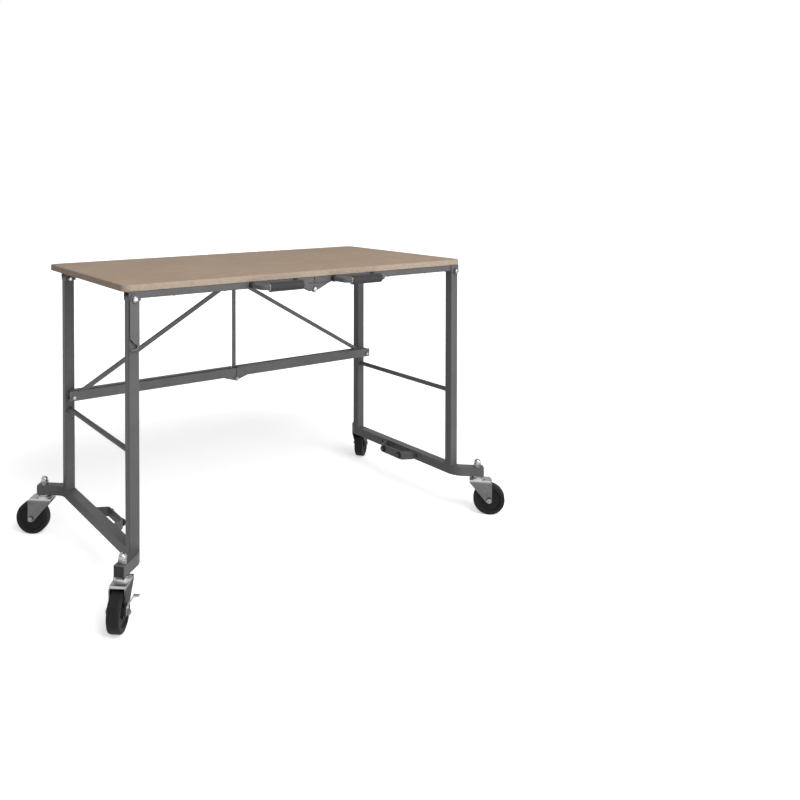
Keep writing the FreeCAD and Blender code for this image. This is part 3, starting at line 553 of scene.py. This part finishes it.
def pivot_heads(side, sign):
    """Heads on the bolts at a leg frame's pivots."""
    shape = bmesh.new()
    x = sign * PIVOT_X
    screw_head(shape, (x, FRONT_Y - LATCH_END, PIVOT_Z), FRONT, *LATCH_HEAD)
    for y, axis in ((FRONT_Y + PIVOT_END, BACK), (BACK_Y - PIVOT_END, FRONT),
                    (BACK_Y + PIVOT_END, BACK)):
        screw_head(shape, (x, y, PIVOT_Z), axis, *PIVOT_HEAD)
    for y, axis in ((BACK_Y - STRETCHER_FRONT, FRONT), (BACK_Y + HINGE_END, BACK)):
        screw_head(shape, (x, y, LOW_PIVOT_Z), axis, *PIVOT_HEAD)
    piece(f"pivot_heads_{side}", shape, f"leg_frame_{side}", "zinc", BOLT, ZINC)


def rail_screws(side, sign):
    """Screws under the rails and the cross rails, which hold the board."""
    shape = bmesh.new()
    for y in (FRONT_Y, BACK_Y):
        for x in RAIL_SCREWS:
            screw_head(shape, (sign * x, y, PIVOT_Z), DOWN, *RAIL_HEAD)
    for x in (CROSS_LOW.x + HALF_TUBE, CROSS_HIGH.x - HALF_TUBE):
        for share in CROSS_SHARES:
            y = FRONT_Y + share * (BACK_Y - FRONT_Y)
            screw_head(shape, (sign * x, y, CROSS_LOW.z), DOWN, *RAIL_HEAD)
    piece(f"rail_screws_{side}", shape, f"top_half_{side}", "powder_coat", RECESS, RECESS)


def bumper_bolts(side, sign):
    """Bolt ends in the middle of the bumpers."""
    shape = bmesh.new()
    for offset in (-BUMPER_OFFSET, BUMPER_OFFSET):
        place = (sign * BUMPER_TIP, STRAP_MIDDLE.y + offset, STRAP_MIDDLE.z)
        turned(shape, place, (-sign, 0, 0), BUMPER_BOLT, count=20)
    piece(f"bumper_bolts_{side}", shape, f"leg_frame_{side}", "powder_coat", POWDER)


def beam_bolts(side, sign):
    """Screws on the foot beam beside the bumpers' strap, and plugs under the legs."""
    shape = bmesh.new()
    beam_z = (BEAM_LOW.z + BEAM_HIGH.z) / 2
    for offset in (-BEAM_SCREW_OFFSET, BEAM_SCREW_OFFSET):
        place = (sign * INNER_X, STRAP_MIDDLE.y + offset, beam_z)
        screw_head(shape, place, (-sign, 0, 0), *BEAM_HEAD)
    for y in (FRONT_Y, BACK_Y):
        turned(shape, (sign * PIVOT_X, y, BEAM_LOW.z), DOWN, BEAM_PLUG, count=HEXAGON)
    piece(f"beam_bolts_{side}", shape, f"leg_frame_{side}", "plug", PLASTIC, RECESS)


def hinge_heads():
    """Heads on the bolts of the top's hinges and of the stretcher's."""
    shape = bmesh.new()
    for y, axis in ((FRONT_Y - HINGE_END, FRONT), (FRONT_Y + HINGE_END, BACK),
                    (BACK_Y - POST_HINGE_END, FRONT), (BACK_Y + HINGE_END, BACK)):
        screw_head(shape, (0, y, HINGE_Z), axis, *HINGE_HEAD)
    piece("hinge_heads", shape, "top_half_left", "zinc", ZINC, BOLT)
    shape = bmesh.new()
    for y, axis in ((BACK_Y - STRETCHER_FRONT, FRONT), (BACK_Y - STRETCHER_BACK, BACK)):
        screw_head(shape, (0, y, LOW_HINGE_Z), axis, *HINGE_HEAD)
    piece("stretcher_heads", shape, "stretcher_half_left", "zinc", BOLT, ZINC)


def axle_nuts(corner):
    """On a caster's axle, a nut with the end of its thread, and a button at the other end."""
    joint = joints[f"roll_{corner}"]
    axis = Vector(joint["axis"])
    place = Vector(joint["pos_m"])
    low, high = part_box(f"axle_{corner}")
    # Half of the axle's length, worked back from the box round its slanting heads
    reach = ((high.x - low.x) / 2 - AXLE_HEAD * abs(axis.y)) / abs(axis.x)
    shape = bmesh.new()
    turned(shape, place + axis * reach, axis, AXLE_NUT, count=HEXAGON)
    turned(shape, place + axis * reach, axis, AXLE_THREAD, count=18)
    turned(shape, place - axis * reach, -axis, AXLE_BUTTON)
    piece(f"axle_nuts_{corner}", shape, joint["parent"], "zinc", BOLT)


# Dome nuts, measured from the top of the stems: a hexagon, a neck and a dome on it
NUT_FOOT = -0.0239
NUT_WAIST = -0.0160
NUT_HEXAGON = [(NUT_FOOT, 0.0127), (NUT_FOOT + 0.0006, 0.0129),
               (NUT_WAIST - 0.0010, 0.0129), (NUT_WAIST, 0.0118)]
NUT_NECK = [(NUT_WAIST - 0.0012, 0.0098), (NUT_WAIST, 0.0104)]
DOME_RADIUS = 0.0110
DOME_TOP = 0.0002
DOME_ANGLES = [math.radians(9.6 * k - 10) for k in range(11)]


def cap_nuts(side):
    """Dome nuts on the caster stems: a hexagon under a round cap."""
    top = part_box(f"caster_stems_{side}")[1].z
    dome = [(DOME_TOP + DOME_RADIUS * (math.sin(angle) - 1), DOME_RADIUS * math.cos(angle))
            for angle in DOME_ANGLES]
    shape = bmesh.new()
    for end in ENDS:
        x, y, _ = joints[f"swivel_{end}_{side}"]["pos_m"]
        turned(shape, (x, y, top), UP, NUT_HEXAGON, count=HEXAGON, material=1)
        turned(shape, (x, y, top), UP, NUT_NECK + dome, count=32)
    piece(f"cap_nuts_{side}", shape, f"leg_frame_{side}", "zinc", ZINC, BOLT)


# Pressed edges of the brakes and the stretcher

# The roll of a tread with its rounded ends, and the height over the axle where the tread begins
ROLL_RADIUS = 0.0021
ROLL_END = 0.75 * ROLL_RADIUS
ROLL_ROUND = 0.0006
TREAD_RISE = 0.02

# The lips: their sheet, the turned-down edge, and the room beside braces, post and outer end
LIP_SHEET = 0.0015
LIP_DROP = 0.0040
BRACE_ROOM = 0.0010
POST_ROOM = 0.0015
END_ROOM = 0.0075


def brake_roll(side):
    """A rolled edge along the tread of a brake lever."""
    joint = joints[f"brake_{side}_tread"]
    lever = nodes[f"brake_lever_{side}"]
    points = [lever.matrix_world @ vertex.co for vertex in lever.data.vertices]
    place = Vector(joint["pos_m"])
    axis = Vector(joint["axis"])
    across = axis.cross(UP).normalized()
    tip = max(((point - place).dot(axis) for point in points), key=abs)
    tread = [(point - place).dot(across) for point in points if point.z > place.z + TREAD_RISE]
    start = place + axis * tip + across * min(tread)
    start.z = max(point.z for point in points) - ROLL_RADIUS / 2
    width = max(tread) - min(tread)
    roll = [(0.0, ROLL_END), (ROLL_ROUND, ROLL_RADIUS),
            (width - ROLL_ROUND, ROLL_RADIUS), (width, ROLL_END)]
    shape = bmesh.new()
    turned(shape, start, across, roll, count=20)
    piece(f"brake_roll_{side}", shape, joint["child"], "zinc", LEVER)


def stretcher_lip(side, sign):
    """A lip from one wall of the stretcher's channel to its braces, turned down at the free edge."""
    low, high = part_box(f"stretcher_{side}")
    bars = [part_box(f"brace_{level}_{side}") for level in ("lower", "upper")]
    if sign < 0:
        wall = high.y - LIP_SHEET / 2
        free = max(bar_high.y for _, bar_high in bars) + BRACE_ROOM
    else:
        wall = low.y + LIP_SHEET / 2
        free = min(bar_low.y for bar_low, _ in bars) - BRACE_ROOM
    inside = free + math.copysign(LIP_SHEET, wall - free)
    top = high.z
    section = [(wall, top), ((free + inside) / 2, top), (free, top - LIP_SHEET / 2),
               (free, top - LIP_DROP), (inside, top - LIP_DROP), (inside, top - LIP_SHEET),
               (wall, top - LIP_SHEET)]
    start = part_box("king_post")[1].x + POST_ROOM
    stop = max(abs(low.x), abs(high.x)) - END_ROOM
    shape = bmesh.new()
    ends = [ring(shape, [(sign * x, y, z) for y, z in section]) for x in (start, stop)]
    skin(shape, *ends)
    for end in ends:
        cap(shape, end)
    # The lip takes the linkage's lighter coat, which is painted light
    piece(f"stretcher_lip_{side}", shape, f"stretcher_half_{side}", "powder_coat", LINKAGE_PAINTED_LIGHT)


# Grips, welds and boots

# The sleeve: a shoulder from its end inwards, and the valley between two ribs
GRIP_HALF = (GRIP_HIGH.x - GRIP_LOW.x) / 2
GRIP_RIBS = 14
GRIP_CREST = 0.01395
GRIP_GROOVE = 0.0133
GRIP_SHOULDER = ((0.0, 0.0106), (0.0, GRIP_CREST - 0.0016), (0.0004, GRIP_CREST - 0.0007),
                 (0.0014, GRIP_CREST))
GRIP_VALLEY = ((-0.0015, GRIP_CREST), (-0.0007, GRIP_GROOVE + 0.0001), (0.0, GRIP_GROOVE),
               (0.0007, GRIP_GROOVE + 0.0001), (0.0015, GRIP_CREST))

# Turned trim: distance along the axis and radius
GRIP_COLLAR = ((-0.0010, 0.0108), (0.0006, 0.0112), (0.0018, 0.0106), (0.0026, 0.0088))
HANDLE_BOOT = ((0.0, 0.0104), (0.0040, 0.0104), (0.0055, 0.0098), (0.0130, 0.0090),
               (0.0145, 0.0084))

# The boots start this far in front of the rail, round the middle of the handle's roots
BOOT_START = 0.0012
HANDLE_ROOT = (HANDLE_HIGH.z - HANDLE_LOW.z) / 2

# Weld beads: radii, the ring round a rung, and the bare length at a bead's ends
LEG_BEAD = 0.0019
THIN_BEAD = 0.0015
RUNG_BEAD_RING = 0.0078
BEAD_END = 0.002


def grip(side, sign):
    """A moulded sleeve on a handle: shallow ribs between two plain shoulders."""
    pitch = 2 * GRIP_HALF / GRIP_RIBS
    profile = [(along - GRIP_HALF, radius) for along, radius in GRIP_SHOULDER]
    for k in range(1, GRIP_RIBS):
        profile += [(k * pitch - GRIP_HALF + along, radius) for along, radius in GRIP_VALLEY]
    profile += [(GRIP_HALF - along, radius) for along, radius in GRIP_SHOULDER[::-1]]
    shape = bmesh.new()
    place = (sign * GRIP_MIDDLE.x, GRIP_MIDDLE.y, HANDLE_Z)
    turned(shape, place, (1, 0, 0), profile, count=36)
    item = piece(f"grip_sleeve_{side}", shape, f"top_half_{side}", "black_rubber", GRIP, sharp=50.0)
    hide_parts(f"grip_{side}")


def welds(side, sign):
    """Weld beads where the legs, the rung and the bumpers' strap meet."""
    shape = bmesh.new()
    x = sign * PIVOT_X
    run = HALF_TUBE - BEAD_END
    for y in (FRONT_Y, BACK_Y):
        for face in (y - HALF_TUBE, y + HALF_TUBE):
            bead(shape, [(x - run, face, BEAM_HIGH.z), (x + run, face, BEAM_HIGH.z)], LEG_BEAD)
    for y in (FRONT_Y + HALF_TUBE, BACK_Y - HALF_TUBE):
        bead(shape, circle((x, y, RUNG_Z), BACK, RUNG_BEAD_RING, 24), THIN_BEAD, closed=True)
    for y in (STRAP_LOW.y, STRAP_HIGH.y):
        bead(shape, [(sign * INNER_X, y, STRAP_LOW.z + BEAD_END),
                     (sign * INNER_X, y, STRAP_HIGH.z - BEAD_END)], THIN_BEAD)
    piece(f"welds_{side}", shape, f"leg_frame_{side}", "powder_coat", POWDER, sharp=60.0)


def handle_trim(side, sign):
    """Rubber boots where a handle meets the rail, and collars at the ends of its grip."""
    shape = bmesh.new()
    for x in (HANDLE_LOW.x + HANDLE_ROOT, HANDLE_HIGH.x - HANDLE_ROOT):
        turned(shape, (sign * x, RAIL_FACE - BOOT_START, HANDLE_Z), FRONT, HANDLE_BOOT)
    piece(f"handle_boots_{side}", shape, f"top_half_{side}", "black_rubber", GRIP)
    shape = bmesh.new()
    for toward in (-1, 1):
        x = sign * GRIP_MIDDLE.x + toward * GRIP_HALF
        turned(shape, (x, GRIP_MIDDLE.y, HANDLE_Z), (toward, 0, 0), GRIP_COLLAR)
    piece(f"grip_collars_{side}", shape, f"top_half_{side}", "zinc", BOLT)


for side in SIDES:
    board_top(side)
for side, sign in SIDES.items():
    pivot_heads(side, sign)
    rail_screws(side, sign)
    bumper_bolts(side, sign)
    beam_bolts(side, sign)
hinge_heads()
for end in ENDS:
    for side in SIDES:
        axle_nuts(f"{end}_{side}")
for side in SIDES:
    cap_nuts(side)
for side in SIDES:
    brake_roll(side)
for side, sign in SIDES.items():
    stretcher_lip(side, sign)
for side, sign in SIDES.items():
    grip(side, sign)
for side, sign in SIDES.items():
    welds(side, sign)
    handle_trim(side, sign)


# Camera, floor and light

SENSOR_MM = 36.0
LENS_MM = 37.897
SHIFT_X, SHIFT_Y = 0.11854, -0.26488
CAMERA_PLACE = (-1.444454, -2.363528, 1.156220)
CAMERA_AIM = Vector((0.5586, 0.8294, -0.01754))
FLOOR_REACH = 40.0
LAMP_TARGET = Vector((0, 0, 0.5))
WHITE = (1, 1, 1, 1)


def seen_ray(tree):
    """1 for a ray from the camera, from a glossy bounce or through a clear surface, else 0."""
    path = add(tree, "ShaderNodeLightPath")
    seen = path.outputs["Is Camera Ray"]
    for kind in ("Is Glossy Ray", "Is Transmission Ray"):
        seen = combine(tree, "MAXIMUM", seen, path.outputs[kind])
    return seen


def set_camera(scene):
    """The photograph's camera."""
    data = bpy.data.cameras.new("camera")
    data.sensor_width = SENSOR_MM
    data.lens = LENS_MM
    data.shift_x = SHIFT_X
    data.shift_y = SHIFT_Y
    camera = bpy.data.objects.new("camera", data)
    camera.location = CAMERA_PLACE
    camera.rotation_euler = CAMERA_AIM.to_track_quat("-Z", "Y").to_euler()
    scene.collection.objects.link(camera)
    scene.camera = camera


def lay_floor(scene):
    """A pale floor that keeps the object's shadow and is seen as white away from it."""
    mesh = bpy.data.meshes.new("floor")
    signs = ((-1, -1), (1, -1), (1, 1), (-1, 1))
    mesh.from_pydata([(x * FLOOR_REACH, y * FLOOR_REACH, 0) for x, y in signs], [], [(0, 1, 2, 3)])
    floor = bpy.data.objects.new("floor", mesh)
    scene.collection.objects.link(floor)
    material, tree, shader = new_material("floor")
    shader.inputs["Base Color"].default_value = (*grey(0.82), 1)
    shader.inputs["Roughness"].default_value = 0.9
    shader.inputs["Specular IOR Level"].default_value = 0.0
    shader.inputs["Emission Color"].default_value = WHITE
    distance = add(tree, "ShaderNodeVectorMath", operation="LENGTH")
    tree.links.new(coordinates(tree), distance.inputs[0])
    glow = spread(tree, distance.outputs["Value"], 0.52, 1.0, start=1.2, stop=4.0)
    lift = combine(tree, "MULTIPLY", seen_ray(tree), glow)
    tree.links.new(lift, shader.inputs["Emission Strength"])
    mesh.materials.append(material)


def light_world(scene):
    """Soft light from all round, weaker from the left, behind a background that is seen as white."""
    world = bpy.data.worlds.new("world")
    world.use_nodes = True
    scene.world = world
    tree = world.node_tree
    background = tree.nodes["Background"]
    direction = add(tree, "ShaderNodeTexCoord").outputs["Generated"]
    ambient = spread(tree, component(tree, direction, "X"), 0.24, 0.58, start=-1.0)
    level = add(tree, "ShaderNodeMix", B=1.0)
    tree.links.new(seen_ray(tree), level.inputs["Factor"])
    tree.links.new(ambient, level.inputs["A"])
    background.inputs["Color"].default_value = WHITE
    tree.links.new(level.outputs["Result"], background.inputs["Strength"])


def hang_lamp(scene, name, place, size, power):
    """A round area lamp turned to the bench."""
    light = bpy.data.lights.new(name, "AREA")
    light.shape = "DISK"
    light.size = size
    light.energy = power
    lamp = bpy.data.objects.new(name, light)
    lamp.location = place
    lamp.rotation_euler = (LAMP_TARGET - Vector(place)).to_track_quat("-Z", "Y").to_euler()
    scene.collection.objects.link(lamp)


scene = bpy.context.scene
set_camera(scene)
lay_floor(scene)
light_world(scene)
hang_lamp(scene, "key", (-0.4, -3.3, 3.9), size=2.4, power=158)
hang_lamp(scene, "fill", (2.2, -5.2, 1.2), size=3.0, power=130)
hang_lamp(scene, "top", (-0.9, 0.2, 4.2), size=3.0, power=6)
scene.view_settings.view_transform = "Standard"
